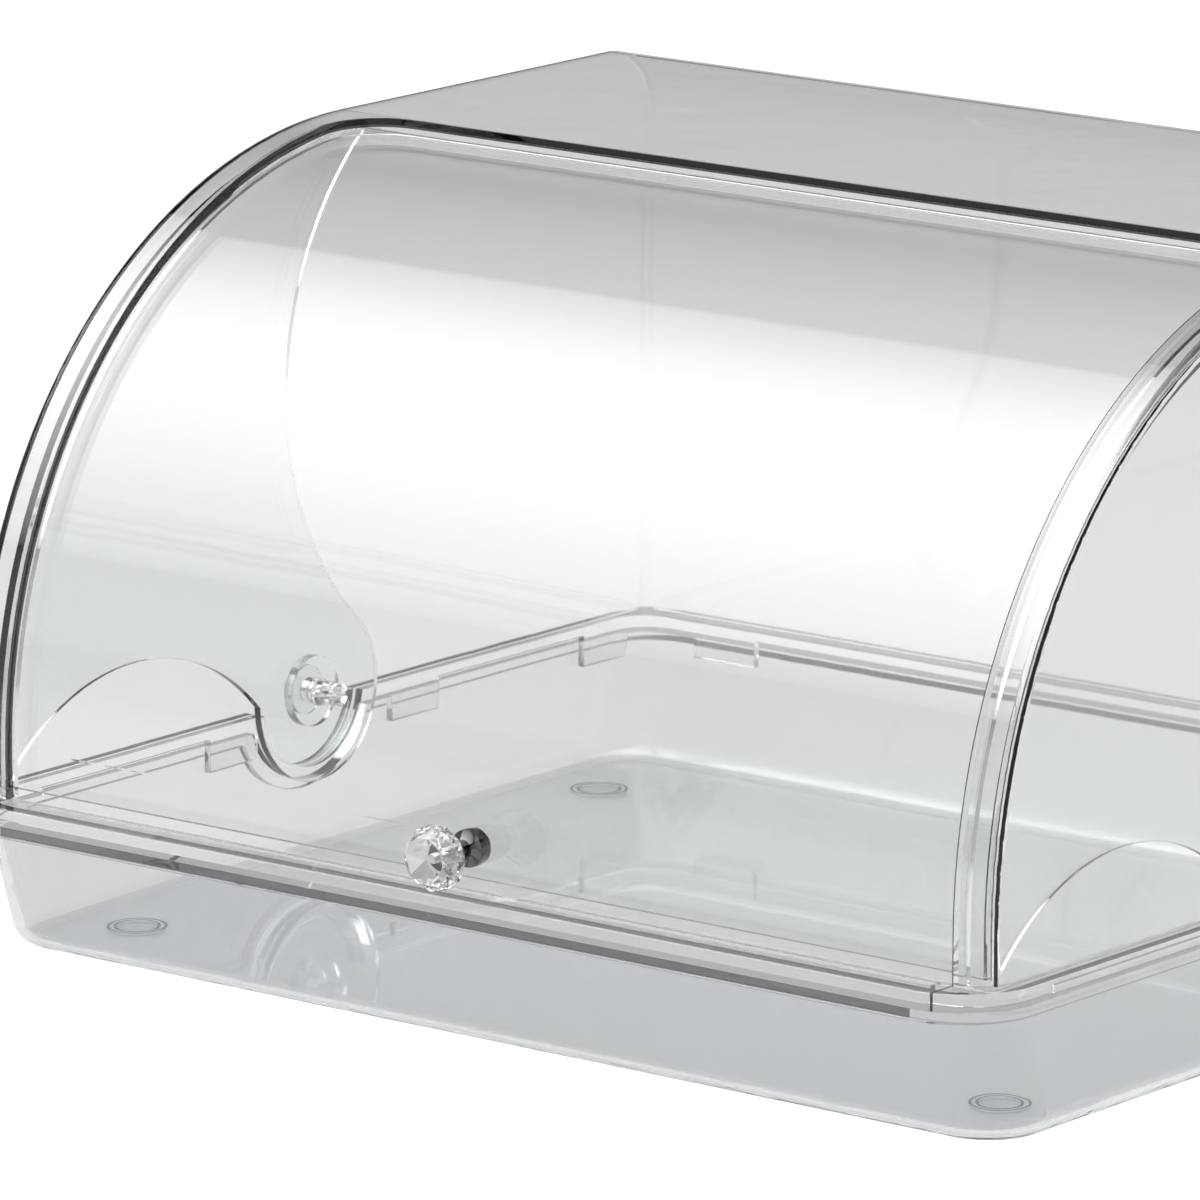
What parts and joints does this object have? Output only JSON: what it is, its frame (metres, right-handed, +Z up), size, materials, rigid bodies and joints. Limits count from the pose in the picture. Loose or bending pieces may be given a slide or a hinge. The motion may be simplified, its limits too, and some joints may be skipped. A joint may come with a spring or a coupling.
{
  "type": "bread box",
  "caption": "Clear plastic bread box: a lift-off hood on a raked tray, with a curved front door that swings up inside the hood by a crystal knob.",
  "frame": {"origin": "middle of the overall box, at the level of the foot pads' undersides", "axes": "+Z up, front with the knob faces -Y, width along X"},
  "size_m": [0.4, 0.358, 0.24],
  "materials": {
    "clear_tray": "clear gloss",
    "clear_hood": "clear gloss",
    "clear_door": "clear gloss",
    "clear_pin": "clear gloss",
    "crystal_knob": "cut and polished",
    "collar_metal": "polished",
    "screw_steel": "bright plated",
    "soft_clear_pad": "soft satin"
  },
  "bodies": {
    "base": {"base_tray": "clear_tray", "foot_pad_front_left": "soft_clear_pad", "foot_pad_front_right": "soft_clear_pad", "foot_pad_back_left": "soft_clear_pad", "foot_pad_back_right": "soft_clear_pad"},
    "hood": {"hood": "clear_hood", "pivot_pin_left": "clear_pin", "pivot_pin_right": "clear_pin"},
    "door": {"door": "clear_door", "knob": "crystal_knob", "knob_collar": "collar_metal", "knob_screw": "screw_steel"}
  },
  "joints": [
    {"name": "hood_lift", "type": "slide", "parent": "base", "child": "hood", "axis": [0, 0, 1], "range_m": [0, 0.06]},
    {"name": "door_swing", "type": "hinge", "parent": "hood", "child": "door", "pos_m": [0, -0.0015, 0.054], "axis": [-1, 0, 0], "range_deg": [0, 58]}
  ]
}
